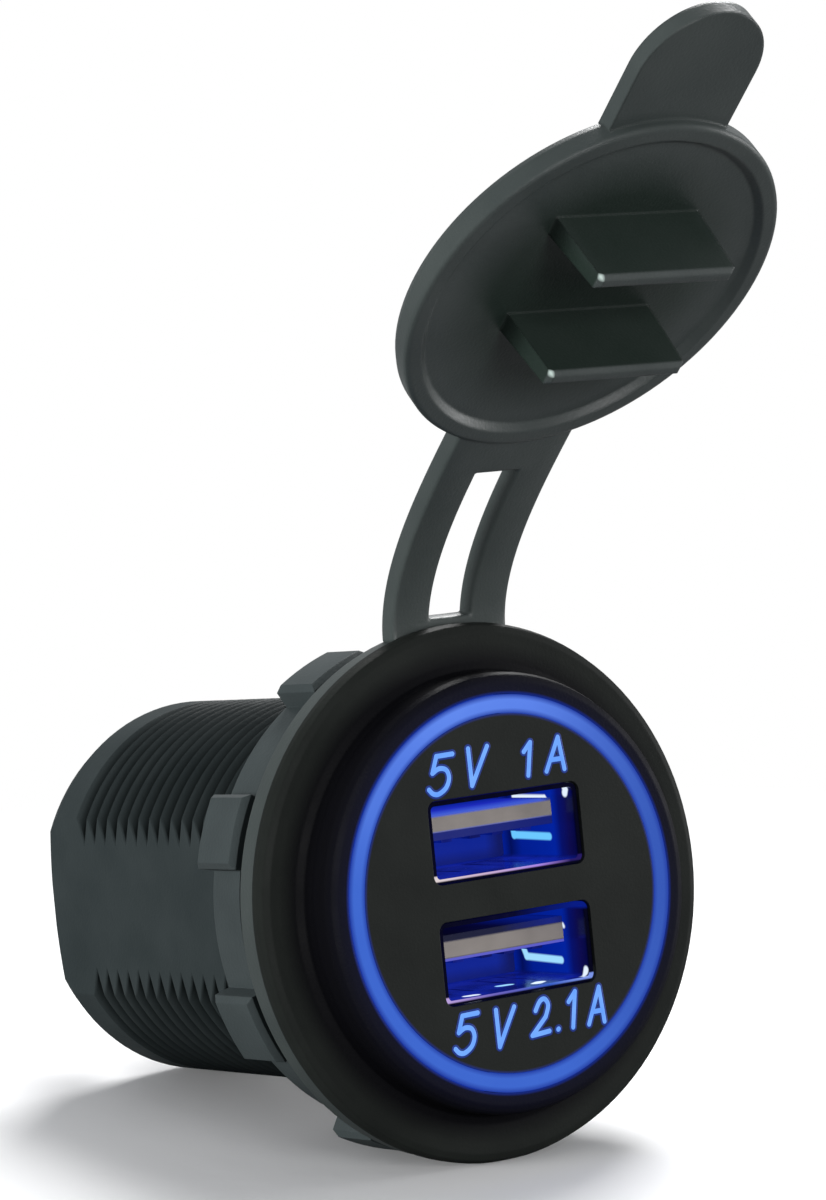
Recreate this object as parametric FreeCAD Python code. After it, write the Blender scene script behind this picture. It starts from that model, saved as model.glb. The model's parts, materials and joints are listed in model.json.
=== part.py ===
import FreeCAD, Part
import math
import os
from FreeCAD import Vector

# A panel-mounted car USB charger with two ports, a lit ring and a tethered rubber dust cap.
# Millimetres. Y is the barrel's axis and the face looks along -Y. Z is up, towards the strap.
# The origin is on the axis, in the plane that seats on the panel.

# Flange and boss
FLANGE_STEP = 3.6
FLANGE_THICKNESS = 1.2
FLANGE_EDGE_ROUND = 0.7
BOSS_STEP = 1.25
BOSS_HEIGHT = 3.0
BOSS_EDGE_ROUND = 0.7
BOSS_FOOT_ROUND = 0.8

# Barrel and thread
SOCKET_GAP = 1.7
BARREL_WALL = 2.95
THREAD_PITCH = 1.5
THREAD_DEPTH = 0.9
REGISTER_LENGTH = 1.35
NECK_STEP = 0.25
FLATS_START = 2.4
FLAT_DEPTH = 1.7
PLAIN_END = 3.2
BARREL_END_ROUND = 1.6
POCKET_DEPTH = 3.3

# Ring nut
NUT_GAP = 1.4
NUT_LENGTH = 4.8
NUT_WALL = 1.85
NUT_RING_STEP = 0.9
NUT_RING_LENGTH = 3.4
NUT_LUG_HEIGHT = 1.7
NUT_LUG_COUNT = 8
NUT_LUG_ANGLE = 16.8
NUT_LUG_TURN = 24.5
NUT_LUG_CHAMFER = 0.4
NUT_CLEARANCE = 0.08

# Lit ring, face plate and light board
BOSS_RIM = 1.6
RING_WIDTH = 1.3
POCKET_CLEARANCE = 0.05
PLATE_THICKNESS = 1.4
PLATE_SKIRT = 0.9
LED_BOARD_THICKNESS = 1.0
LED_COUNT = 8
LED_HEIGHT = 0.6
LED_LENGTH = 1.6
LED_WIDTH = 0.8
LED_POCKET_CLEARANCE = 0.15

# USB sockets
PORT_PITCH = 8.5
SHELL_WIDTH = 13.1
SHELL_HEIGHT = 5.72
SHELL_WALL = 0.3
SHELL_CORNER = 0.6
SHELL_LENGTH = 13.9
SHELL_RECESS = 0.2
WINDOW_CLEARANCE = 0.1
SPRING_LENGTH = 5.0
SPRING_WIDTH = 1.6
SPRING_SLIT = 0.4
SPRING_SPACING = 5.6
SPRING_START = 3.2
TONGUE_SIDE_GAP = 0.7
TONGUE_THICKNESS = 1.84
TONGUE_TOP_GAP = 0.72
TONGUE_RECESS = 2.0
SOCKET_BLOCK_LENGTH = 5.0
SOCKET_BLOCK_CLEARANCE = 0.05
CONTACT_PLACES = (-3.5, -1.0, 1.0, 3.5)
CONTACT_WIDTH = 0.9
CONTACT_THICKNESS = 0.25
CONTACT_RECESS = 0.5
SOLDER_TAIL = 0.7
LEG_WIDTH = 1.8

# Circuit boards and what links them
BOARD_CLEARANCE = 0.2
PORT_BOARD_THICKNESS = 1.2
POWER_BOARD_THICKNESS = 1.6
POWER_BOARD_LENGTH = 22.0
POWER_BOARD_GAP = 0.3
POWER_BOARD_SIDE_GAP = 0.5
POWER_BOARD_END_GAP = 2.2
RAIL_DEPTH = 1.5
RAIL_THICKNESS = 1.0
RAIL_CLEARANCE = 0.05
PIN_WIDTH = 0.6
PIN_HOLE_CLEARANCE = 0.05
LED_PIN_PLACES = (-3.0, 3.0)
LINK_PIN_PLACES = (-7.6, -6.2, -4.8, 4.8, 6.2, 7.6)
LINK_PIN_REACH = 2.0

# Parts on the power board: place as a share of the board's half width and of its length, and size
INDUCTOR_SHARES = (-0.33, 0.30)
INDUCTOR_RADIUS = 4.0
INDUCTOR_HEIGHT = 6.6
INDUCTOR_FLANGE = 1.1
INDUCTOR_WAIST = 2.0
WINDING_GAP = 0.4
INPUT_CAPACITOR_SHARES = (0.38, 0.58)
INPUT_CAPACITOR_RADIUS = 3.15
INPUT_CAPACITOR_HEIGHT = 7.6
OUTPUT_CAPACITOR_SHARES = ((-0.40, 0.24), (0.40, 0.24))
OUTPUT_CAPACITOR_RADIUS = 2.5
OUTPUT_CAPACITOR_HEIGHT = 6.0
CHIP_SHARES = (0.42, 0.26)
CHIP_SIZE = (3.9, 4.9, 1.5)
CHIP_LEAD_COUNT = 4
CHIP_LEAD_PITCH = 1.27
CHIP_LEAD_WIDTH = 0.42
CHIP_LEAD_REACH = 1.0
DIODE_SHARES = (-0.29, 0.66)
DIODE_SIZE = (2.6, 4.3, 2.1)
DIODE_END = 0.5
DIODE_END_WIDTH = 1.5
PORT_CHIP_SHARES = ((-0.42, 0.54), (0.42, 0.54))
PORT_CHIP_SIZE = (1.6, 2.9, 1.1)
RESISTOR_SHARES = ((0.0, 0.47), (0.0, 0.57), (0.0, 0.67), (0.0, 0.77), (-0.29, 0.80), (0.29, 0.80))
RESISTOR_SIZE = (1.6, 0.8, 0.6)

# Rear cover and terminals
COVER_THICKNESS = 2.4
COVER_LEDGE = 0.75
COVER_CLEARANCE = 0.05
COVER_RIM = 0.8
COVER_RECESS = 0.5
TAB_WIDTH = 6.3
TAB_THICKNESS = 0.8
TAB_LENGTH = 8.0
TAB_SPACING = 10.0
TAB_TIP = 1.1
TAB_HOLE_RADIUS = 0.82
TAB_HOLE_FROM_TIP = 3.2
TAB_SLOT_CLEARANCE = 0.1
TAB_SHOULDER = 0.8
TAB_TAIL_LENGTH = 4.4
TAB_TAIL_HEIGHT = 2.2

# Rubber collar, strap and dust cap
COLLAR_THICKNESS = 2.0
COLLAR_INSET = 0.15
COLLAR_CLEARANCE = 0.14
COLLAR_EDGE_CHAMFER = 0.3
STRAP_WIDTH = 10.0
STRAP_THICKNESS = 1.5
STRAP_SLOT_WIDTH = 3.6
STRAP_SLOT_START = 0.7
STRAP_SLOT_END = 2.9
STRAP_ROOT_PULL = 4.0
STRAP_CAP_PULL = 7.0
CAP_OVERLAP = 0.3
CAP_GAP = 0.3
CAP_WALL = 1.5
CAP_LIP_HEIGHT = 0.5
CAP_LIP_WIDTH = 1.2
CAP_LIP_ROUND = 0.3
CAP_EDGE_ROUND = 0.6
TAB_GRIP_WIDTH = 9.9
TAB_GRIP_REACH = 8.8
TAB_GRIP_THICKNESS = 1.2
PLUG_SIDE_GAP = 0.25
PLUG_THICKNESS = 1.5
PLUG_SIDE_TAPER = 0.3
PLUG_TIP_THICKNESS = 1.1
PLUG_REACH = 5.3
PLUG_TIP_CHAMFER = 0.3

# The cap's living hinge, as the line that it turns about, and how far it stands open
HINGE_AHEAD_OF_SEAT = 5.2
HINGE_ABOVE_COLLAR = 4.85
CAP_OPEN_ANGLE = 132.3

# Radii that follow from the sockets outwards; the bore is rounded to a tenth
SOCKET_REACH = math.hypot(SHELL_WIDTH / 2, (PORT_PITCH + SHELL_HEIGHT) / 2)
BORE_RADIUS = round(SOCKET_REACH + SOCKET_GAP, 1)
THREAD_RADIUS = BORE_RADIUS + BARREL_WALL
THREAD_ROOT = THREAD_RADIUS - THREAD_DEPTH
FLAT_HALF_WIDTH = THREAD_RADIUS - FLAT_DEPTH
BOSS_RADIUS = THREAD_RADIUS + BOSS_STEP
FLANGE_RADIUS = BOSS_RADIUS + FLANGE_STEP
COLLAR_RADIUS = FLANGE_RADIUS - COLLAR_INSET
RING_OUTER_RADIUS = BOSS_RADIUS - BOSS_RIM
RING_INNER_RADIUS = RING_OUTER_RADIUS - RING_WIDTH
CAP_RADIUS = RING_OUTER_RADIUS + CAP_OVERLAP
NUT_HUB_RADIUS = THREAD_RADIUS + NUT_WALL
NUT_RING_RADIUS = NUT_HUB_RADIUS + NUT_RING_STEP
NUT_LUG_RADIUS = NUT_RING_RADIUS + NUT_LUG_HEIGHT
COVER_RADIUS = BORE_RADIUS + COVER_LEDGE
HINGE_HEIGHT = COLLAR_RADIUS + HINGE_ABOVE_COLLAR

# Places along the axis that follow from the sizes above
FLANGE_BACK = -COLLAR_THICKNESS
FLANGE_FRONT = FLANGE_BACK - FLANGE_THICKNESS
FACE_Y = FLANGE_FRONT - BOSS_HEIGHT
POCKET_FLOOR = FACE_Y + POCKET_DEPTH
LED_BOARD_FRONT = POCKET_FLOOR - LED_BOARD_THICKNESS
SHELL_FRONT = FACE_Y + SHELL_RECESS
SHELL_BACK = SHELL_FRONT + SHELL_LENGTH
PORT_BOARD_BACK = SHELL_BACK + PORT_BOARD_THICKNESS
POWER_BOARD_FRONT = PORT_BOARD_BACK + POWER_BOARD_GAP
COVER_SEAT = POWER_BOARD_FRONT + POWER_BOARD_LENGTH + POWER_BOARD_END_GAP
BARREL_LENGTH = COVER_SEAT + COVER_THICKNESS

# Widths that follow from the sockets and the bore
SHELL_INSIDE = SHELL_WIDTH - 2 * SHELL_WALL
TONGUE_WIDTH = SHELL_INSIDE - 2 * TONGUE_SIDE_GAP
PLUG_WIDTH = SHELL_INSIDE - 2 * PLUG_SIDE_GAP
PLUG_TIP_WIDTH = PLUG_WIDTH - 2 * PLUG_SIDE_TAPER
POWER_BOARD_HALF_WIDTH = BORE_RADIUS - POWER_BOARD_SIDE_GAP

# Heights off the axis that follow from the sizes above
POWER_BOARD_TOP = POWER_BOARD_THICKNESS / 2
LINK_PIN_HEIGHT = POWER_BOARD_TOP + PIN_WIDTH / 2
PORT_HEIGHTS = {"lower": -PORT_PITCH / 2, "upper": PORT_PITCH / 2}
TONGUE_TOP = SHELL_HEIGHT / 2 - SHELL_WALL - TONGUE_TOP_GAP
TONGUE_BOTTOM = TONGUE_TOP - TONGUE_THICKNESS
SOCKET_FLOOR = -SHELL_HEIGHT / 2 + SHELL_WALL

ACROSS = Vector(1, 0, 0)
ALONG = Vector(0, 1, 0)
UP = Vector(0, 0, 1)
AXIS_START = Vector(0, 0, 0)


def tube(outer, start, end, inner=0.0):
    """A round bar or tube on the barrel's axis, from start to end along Y."""
    shape = Part.makeCylinder(outer, end - start, Vector(0, start, 0), ALONG)
    if inner > 0:
        shape = shape.cut(Part.makeCylinder(inner, end - start, Vector(0, start, 0), ALONG))
    return shape


def post(radius, place, low, high):
    """A round bar that stands along Z at a place across and along the board."""
    return Part.makeCylinder(radius, high - low, Vector(place[0], place[1], low), UP)


def block(x, y, z):
    """A box between two limits on each axis."""
    return Part.makeBox(x[1] - x[0], y[1] - y[0], z[1] - z[0], Vector(x[0], y[0], z[0]))


def centred(width, y, height, centre_z=0.0, centre_x=0.0):
    """A box centred across X and Z, between two limits along Y."""
    return block((centre_x - width / 2, centre_x + width / 2), y,
                 (centre_z - height / 2, centre_z + height / 2))


def rounded_bar(width, y, height, corner, centre_z):
    """A bar along Y whose four long edges are rounded."""
    bar = centred(width, y, height, centre_z)
    long_edges = [edge for edge in bar.Edges if abs(edge.tangentAt(edge.FirstParameter).y) > 0.9]
    return bar.makeFillet(corner, long_edges)


def fuse_all(shapes):
    """One solid from touching or overlapping shapes."""
    shapes = list(shapes)
    return shapes[0].multiFuse(shapes[1:]).removeSplitter()


def eased(before, corner, after, size):
    """Two short steps in place of a corner, along a quarter round of that size."""
    towards_before = (before - corner).normalize()
    towards_after = (after - corner).normalize()
    centre = corner + (towards_before + towards_after) * size
    middle = centre - (towards_before + towards_after) * (size / math.sqrt(2))
    return [corner + towards_before * size, middle, corner + towards_after * size]


def revolved(outline):
    """Turn a closed outline of (radius, place along Y) about the barrel's axis.
    A corner with a third number is eased by that size."""
    corners = [Vector(corner[0], corner[1], 0) for corner in outline]
    points = []
    for index, corner in enumerate(corners):
        if len(outline[index]) == 3:
            points += eased(corners[index - 1], corner, corners[(index + 1) % len(corners)], outline[index][2])
        else:
            points.append(corner)
    return Part.Face(Part.makePolygon(points + points[:1])).revolve(AXIS_START, ALONG, 360)


def barrel_profile():
    """The barrel's outline from the flange's back to the rear, with a V groove for each turn of thread."""
    neck = THREAD_RADIUS - NECK_STEP
    points = [(neck, FLANGE_BACK), (neck, 0.0), (THREAD_RADIUS, 0.0), (THREAD_RADIUS, REGISTER_LENGTH)]
    turns = int((BARREL_LENGTH - PLAIN_END - REGISTER_LENGTH) / THREAD_PITCH)
    for turn in range(turns):
        crest = REGISTER_LENGTH + (turn + 1) * THREAD_PITCH
        points += [(THREAD_ROOT, crest - THREAD_PITCH / 2), (THREAD_RADIUS, crest)]
    return points + [(THREAD_RADIUS, BARREL_LENGTH, BARREL_END_ROUND)]


def board_rails():
    """Two pairs of ribs in the bore that hold the power board by its edges."""
    inner = BORE_RADIUS - RAIL_DEPTH
    rails = []
    for side in (-1, 1):
        for level in (-1, 1):
            near = level * (POWER_BOARD_TOP + RAIL_CLEARANCE)
            far = near + level * RAIL_THICKNESS
            x = sorted((side * inner, side * (BORE_RADIUS + RAIL_THICKNESS)))
            rails.append(block(x, (PORT_BOARD_BACK, COVER_SEAT), sorted((near, far))))
    return rails


def make_housing():
    """Flange, boss and threaded barrel in one moulding, hollow from both ends."""
    pocket_radius = RING_OUTER_RADIUS + POCKET_CLEARANCE
    cover_bore = COVER_RADIUS + COVER_CLEARANCE
    outer = [(pocket_radius, POCKET_FLOOR), (pocket_radius, FACE_Y), (BOSS_RADIUS, FACE_Y, BOSS_EDGE_ROUND),
             (BOSS_RADIUS, FLANGE_FRONT, BOSS_FOOT_ROUND), (FLANGE_RADIUS, FLANGE_FRONT, FLANGE_EDGE_ROUND),
             (FLANGE_RADIUS, FLANGE_BACK)]
    inner = [(cover_bore, BARREL_LENGTH), (cover_bore, COVER_SEAT), (BORE_RADIUS, COVER_SEAT),
             (BORE_RADIUS, POCKET_FLOOR)]
    body = revolved(outer + barrel_profile() + inner)
    reach = 2 * THREAD_RADIUS
    for side in (-1, 1):
        x = sorted((side * FLAT_HALF_WIDTH, side * reach))
        body = body.cut(block(x, (FLATS_START, BARREL_LENGTH + reach), (-reach, reach)))
    return fuse_all([body] + board_rails())


def lug_sector(angle, y):
    """One nut lug as a wedge of a disc, centred on an angle from Z towards -X."""
    wedge = Part.makeCylinder(NUT_LUG_RADIUS, y[1] - y[0], Vector(0, y[0], 0), ALONG, NUT_LUG_ANGLE)
    wedge = wedge.cut(tube(NUT_HUB_RADIUS - NUT_LUG_CHAMFER, y[0], y[1]))
    rim = [edge for edge in wedge.Edges if edge.BoundBox.DiagonalLength > 0
           and min(math.hypot(v.X, v.Z) for v in edge.Vertexes) > NUT_LUG_RADIUS - 0.01]
    wedge = wedge.makeChamfer(NUT_LUG_CHAMFER, rim).Solids[0]
    middle = wedge.CenterOfMass
    now = math.degrees(math.atan2(-middle.x, middle.z))
    wedge.rotate(AXIS_START, ALONG, now - angle)
    return wedge


def make_ring_nut():
    """A castellated nut that screws along the barrel and clamps the panel."""
    front = NUT_GAP
    back = front + NUT_LENGTH
    bore = THREAD_RADIUS + NUT_CLEARANCE
    body = fuse_all([tube(NUT_HUB_RADIUS, front, back), tube(NUT_RING_RADIUS, back - NUT_RING_LENGTH, back)])
    pitch = 360.0 / NUT_LUG_COUNT
    lugs = [lug_sector(NUT_LUG_TURN + index * pitch, (front, back)) for index in range(NUT_LUG_COUNT)]
    return fuse_all([body] + lugs).cut(tube(bore, front, back))


def window(centre_z, y, clearance):
    """The space that one USB shell passes through, with clearance all round."""
    return rounded_bar(SHELL_WIDTH + 2 * clearance, y, SHELL_HEIGHT + 2 * clearance,
                       SHELL_CORNER + clearance, centre_z)


def make_face_plate():
    """The black disc inside the lit ring: a shallow cup with a window for each port."""
    radius = RING_INNER_RADIUS - POCKET_CLEARANCE
    plate = tube(radius, FACE_Y, LED_BOARD_FRONT)
    plate = plate.cut(tube(radius - PLATE_SKIRT, FACE_Y + PLATE_THICKNESS, LED_BOARD_FRONT))
    for height in PORT_HEIGHTS.values():
        plate = plate.cut(window(height, (FACE_Y - 1, LED_BOARD_FRONT), WINDOW_CLEARANCE))
    return plate


def led_places():
    """The angle of each light, evenly spaced round the ring."""
    return [360.0 * (index + 0.5) / LED_COUNT for index in range(LED_COUNT)]


def led_block(angle, extra):
    """One light's outline on the light board, larger by a clearance."""
    radius = (RING_OUTER_RADIUS + RING_INNER_RADIUS) / 2
    x = (-LED_LENGTH / 2 - extra, LED_LENGTH / 2 + extra)
    z = (radius - LED_WIDTH / 2 - extra, radius + LED_WIDTH / 2 + extra)
    shape = block(x, (LED_BOARD_FRONT - LED_HEIGHT - extra, LED_BOARD_FRONT), z)
    shape.rotate(AXIS_START, ALONG, angle)
    return shape


def make_light_ring():
    """The translucent ring, with a pocket over each light."""
    ring = tube(RING_OUTER_RADIUS, FACE_Y, LED_BOARD_FRONT, RING_INNER_RADIUS)
    for angle in led_places():
        ring = ring.cut(led_block(angle, LED_POCKET_CLEARANCE))
    return ring


def make_ring_lights():
    """The lights under the ring."""
    return Part.makeCompound([led_block(angle, 0.0) for angle in led_places()])


def square_pin(x, y, z, extra=0.0):
    """A square header pin along Y, or with a clearance, the hole that it passes through."""
    return centred(PIN_WIDTH + 2 * extra, y, PIN_WIDTH + 2 * extra, z, x)


def make_led_board():
    """The round board that carries the lights, with a window for each port."""
    board = tube(RING_OUTER_RADIUS, LED_BOARD_FRONT, POCKET_FLOOR)
    depth = (LED_BOARD_FRONT - 1, POCKET_FLOOR + 1)
    for height in PORT_HEIGHTS.values():
        board = board.cut(centred(SHELL_WIDTH + 2 * BOARD_CLEARANCE, depth,
                                  SHELL_HEIGHT + 2 * BOARD_CLEARANCE, height))
    for x in LED_PIN_PLACES:
        board = board.cut(square_pin(x, depth, 0.0, PIN_HOLE_CLEARANCE))
    return board


def make_led_pins():
    """Two pins that feed the light board from the port board, between the sockets."""
    y = (LED_BOARD_FRONT - PIN_WIDTH / 2, PORT_BOARD_BACK)
    return Part.makeCompound([square_pin(x, y, 0.0) for x in LED_PIN_PLACES])


def spring_slits(centre_z):
    """U-shaped slits that leave two contact springs in the top and bottom of a shell."""
    slits = []
    start = SHELL_FRONT + SPRING_START
    end = start + SPRING_LENGTH
    height = 2 * SHELL_HEIGHT
    for x in (-SPRING_SPACING / 2, SPRING_SPACING / 2):
        for side in (-1, 1):
            middle = x + side * (SPRING_WIDTH + SPRING_SLIT) / 2
            slits.append(centred(SPRING_SLIT, (start, end), height, centre_z, middle))
        slits.append(centred(SPRING_WIDTH + 2 * SPRING_SLIT, (end - SPRING_SLIT, end), height, centre_z, x))
    return slits


def shell_legs(centre_z, extra):
    """Solder legs that run on from a shell's side walls, larger by a clearance."""
    legs = []
    middle = (SHELL_WIDTH - SHELL_WALL) / 2
    for side in (-1, 1):
        legs.append(centred(SHELL_WALL + 2 * extra, (SHELL_BACK, PORT_BOARD_BACK + SOLDER_TAIL),
                            LEG_WIDTH + 2 * extra, centre_z, side * middle))
    return legs


def make_usb_shell(centre_z):
    """The folded steel shell of one USB socket, with its springs and solder legs."""
    y = (SHELL_FRONT, SHELL_BACK)
    shell = window(centre_z, y, 0.0).cut(window(centre_z, y, -SHELL_WALL))
    keep = centred(TONGUE_WIDTH, y, SHELL_HEIGHT, centre_z)
    for slit in spring_slits(centre_z):
        shell = shell.cut(slit.common(keep))
    return fuse_all([shell] + shell_legs(centre_z, 0.0))


def contact_bar(x, centre_z, extra):
    """One contact: a flat strip under the tongue that ends in a solder tail."""
    top = centre_z + TONGUE_BOTTOM
    y = (FACE_Y + TONGUE_RECESS + CONTACT_RECESS, PORT_BOARD_BACK + SOLDER_TAIL)
    return block((x - CONTACT_WIDTH / 2 - extra, x + CONTACT_WIDTH / 2 + extra), y,
                 (top - CONTACT_THICKNESS - extra, top + extra))


def make_usb_contacts(centre_z):
    """The four contacts of one socket."""
    return Part.makeCompound([contact_bar(x, centre_z, 0.0) for x in CONTACT_PLACES])


def make_usb_insulator(centre_z):
    """The moulded block of one socket, with the tongue that stands forward from it."""
    gap = SHELL_WALL + SOCKET_BLOCK_CLEARANCE
    back = window(centre_z, (SHELL_BACK - SOCKET_BLOCK_LENGTH, SHELL_BACK), -gap)
    middle = centre_z + (TONGUE_TOP + TONGUE_BOTTOM) / 2
    tongue = centred(TONGUE_WIDTH, (FACE_Y + TONGUE_RECESS, SHELL_BACK - SOCKET_BLOCK_LENGTH),
                     TONGUE_THICKNESS, middle)
    shape = fuse_all([back, tongue])
    for x in CONTACT_PLACES:
        shape = shape.cut(contact_bar(x, centre_z, 0.0))
    return shape


def make_port_board():
    """The round board behind the two sockets."""
    board = tube(BORE_RADIUS - BOARD_CLEARANCE, SHELL_BACK, PORT_BOARD_BACK)
    for height in PORT_HEIGHTS.values():
        for x in CONTACT_PLACES:
            board = board.cut(contact_bar(x, height, PIN_HOLE_CLEARANCE))
        for leg in shell_legs(height, PIN_HOLE_CLEARANCE):
            board = board.cut(leg)
    depth = (SHELL_BACK - 1, PORT_BOARD_BACK + 1)
    for x in LED_PIN_PLACES:
        board = board.cut(square_pin(x, depth, 0.0, PIN_HOLE_CLEARANCE))
    for x in LINK_PIN_PLACES:
        board = board.cut(square_pin(x, depth, LINK_PIN_HEIGHT, PIN_HOLE_CLEARANCE))
    return board


def make_link_pins():
    """Header pins from the port board that lie on the power board's pads."""
    y = (SHELL_BACK + PIN_WIDTH / 2, POWER_BOARD_FRONT + LINK_PIN_REACH)
    return Part.makeCompound([square_pin(x, y, LINK_PIN_HEIGHT) for x in LINK_PIN_PLACES])


def on_board(shares):
    """A place on the power board, as X and Y."""
    return (shares[0] * POWER_BOARD_HALF_WIDTH, POWER_BOARD_FRONT + shares[1] * POWER_BOARD_LENGTH)


def make_power_board():
    """The board that holds the converter, along the barrel's axis."""
    return centred(2 * POWER_BOARD_HALF_WIDTH, (POWER_BOARD_FRONT, POWER_BOARD_FRONT + POWER_BOARD_LENGTH),
                   POWER_BOARD_THICKNESS)


def make_inductor_core():
    """A ferrite drum that stands on the board."""
    place = on_board(INDUCTOR_SHARES)
    low = POWER_BOARD_TOP
    high = low + INDUCTOR_HEIGHT
    return fuse_all([post(INDUCTOR_RADIUS, place, low, low + INDUCTOR_FLANGE),
                     post(INDUCTOR_WAIST, place, low, high),
                     post(INDUCTOR_RADIUS, place, high - INDUCTOR_FLANGE, high)])


def make_inductor_winding():
    """The copper winding, as one solid round the drum's waist."""
    place = on_board(INDUCTOR_SHARES)
    low = POWER_BOARD_TOP + INDUCTOR_FLANGE
    high = POWER_BOARD_TOP + INDUCTOR_HEIGHT - INDUCTOR_FLANGE
    return post(INDUCTOR_RADIUS - WINDING_GAP, place, low, high).cut(post(INDUCTOR_WAIST, place, low, high))


def capacitor(shares, radius, height, side):
    """An electrolytic can; side is 1 above the board and -1 below it."""
    low, high = sorted((side * POWER_BOARD_TOP, side * (POWER_BOARD_TOP + height)))
    return post(radius, on_board(shares), low, high)


def make_input_capacitor():
    """The large can on top of the board."""
    return capacitor(INPUT_CAPACITOR_SHARES, INPUT_CAPACITOR_RADIUS, INPUT_CAPACITOR_HEIGHT, 1)


def make_output_capacitors():
    """Two cans under the board, one for each port."""
    return Part.makeCompound([capacitor(shares, OUTPUT_CAPACITOR_RADIUS, OUTPUT_CAPACITOR_HEIGHT, -1)
                              for shares in OUTPUT_CAPACITOR_SHARES])


def board_box(shares, size, side=1):
    """A box of (across, along, high) that sits on one side of the power board."""
    x, y = on_board(shares)
    z = sorted((side * POWER_BOARD_TOP, side * (POWER_BOARD_TOP + size[2])))
    return block((x - size[0] / 2, x + size[0] / 2), (y - size[1] / 2, y + size[1] / 2), z)


def make_converter_chip():
    """The converter chip: a moulded body with four flat leads on each side."""
    lead_height = CHIP_SIZE[2] / 3
    parts = [board_box(CHIP_SHARES, CHIP_SIZE)]
    size = (CHIP_SIZE[0] + 2 * CHIP_LEAD_REACH, CHIP_LEAD_WIDTH, lead_height)
    for index in range(CHIP_LEAD_COUNT):
        lead = board_box(CHIP_SHARES, size)
        lead.translate(ALONG * ((index - (CHIP_LEAD_COUNT - 1) / 2) * CHIP_LEAD_PITCH))
        parts.append(lead)
    return fuse_all(parts)


def make_input_diode():
    """The diode that guards against a reversed supply."""
    ends = (DIODE_END_WIDTH, DIODE_SIZE[1] + 2 * DIODE_END, DIODE_SIZE[2] / 2)
    return fuse_all([board_box(DIODE_SHARES, DIODE_SIZE), board_box(DIODE_SHARES, ends)])


def chips_below(all_shares, size):
    """Small chips on the underside of the board."""
    return Part.makeCompound([board_box(shares, size, -1) for shares in all_shares])


def make_rear_cover():
    """The disc that closes the barrel, with a rim and a slot for each terminal."""
    cover = tube(COVER_RADIUS, COVER_SEAT, BARREL_LENGTH)
    cover = cover.cut(tube(COVER_RADIUS - COVER_RIM, BARREL_LENGTH - COVER_RECESS, BARREL_LENGTH))
    for side in (-1, 1):
        cover = cover.cut(centred(TAB_THICKNESS + 2 * TAB_SLOT_CLEARANCE, (COVER_SEAT, BARREL_LENGTH),
                                  TAB_WIDTH + 2 * TAB_SLOT_CLEARANCE, 0.0, side * TAB_SPACING / 2))
    reach = 2 * COVER_RADIUS
    for side in (-1, 1):
        x = sorted((side * (FLAT_HALF_WIDTH - COVER_RIM), side * reach))
        cover = cover.cut(block(x, (COVER_SEAT, BARREL_LENGTH), (-reach, reach)))
    return cover


def make_terminal(side):
    """A flat terminal tab with a pierced, bevelled tip and a tail on the power board."""
    tip = BARREL_LENGTH + TAB_LENGTH
    half = TAB_WIDTH / 2
    shoulder = half + TAB_SHOULDER
    tail_end = COVER_SEAT - TAB_SHOULDER
    tail_top = POWER_BOARD_TOP + TAB_TAIL_HEIGHT
    tail_start = POWER_BOARD_FRONT + POWER_BOARD_LENGTH - TAB_TAIL_LENGTH
    outline = [(tail_start, POWER_BOARD_TOP), (tail_start, tail_top), (tail_end, tail_top),
               (tail_end, shoulder), (COVER_SEAT, shoulder), (COVER_SEAT, half), (tip - TAB_TIP, half),
               (tip, half - TAB_TIP), (tip, TAB_TIP - half), (tip - TAB_TIP, -half), (COVER_SEAT, -half),
               (COVER_SEAT, -shoulder), (tail_end, -shoulder), (tail_end, POWER_BOARD_TOP)]
    x = side * TAB_SPACING / 2 - TAB_THICKNESS / 2
    points = [Vector(x, y, z) for y, z in outline]
    tab = Part.Face(Part.makePolygon(points + points[:1])).extrude(ACROSS * TAB_THICKNESS)
    hole_centre = Vector(x, tip - TAB_HOLE_FROM_TIP, 0)
    return tab.cut(Part.makeCylinder(TAB_HOLE_RADIUS, TAB_THICKNESS, hole_centre, ACROSS))


def opened(shape):
    """Turn a shape from the closed cap's place to where the cap stands open."""
    turned = shape.copy()
    turned.rotate(Vector(0, -HINGE_AHEAD_OF_SEAT, HINGE_HEIGHT), ACROSS, -CAP_OPEN_ANGLE)
    return turned


def make_plug(centre_z):
    """A tapered tongue on the closed cap that fills the free space under a socket's tongue."""
    root = FACE_Y - CAP_GAP - CAP_LIP_HEIGHT
    tip = FACE_Y - CAP_GAP + PLUG_REACH
    free_top = TONGUE_BOTTOM - CONTACT_THICKNESS
    middle = centre_z + (free_top + SOCKET_FLOOR) / 2
    x, tip_x = PLUG_WIDTH / 2, PLUG_TIP_WIDTH / 2
    z, tip_z = PLUG_THICKNESS / 2, PLUG_TIP_THICKNESS / 2
    plug = Part.makeWedge(-x, root, middle - z, middle - tip_z, -tip_x,
                          x, tip, middle + z, middle + tip_z, tip_x)
    tip_edges = [edge for edge in plug.Edges if all(abs(v.Y - tip) < 0.01 for v in edge.Vertexes)]
    return plug.makeChamfer(PLUG_TIP_CHAMFER, tip_edges)


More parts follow.
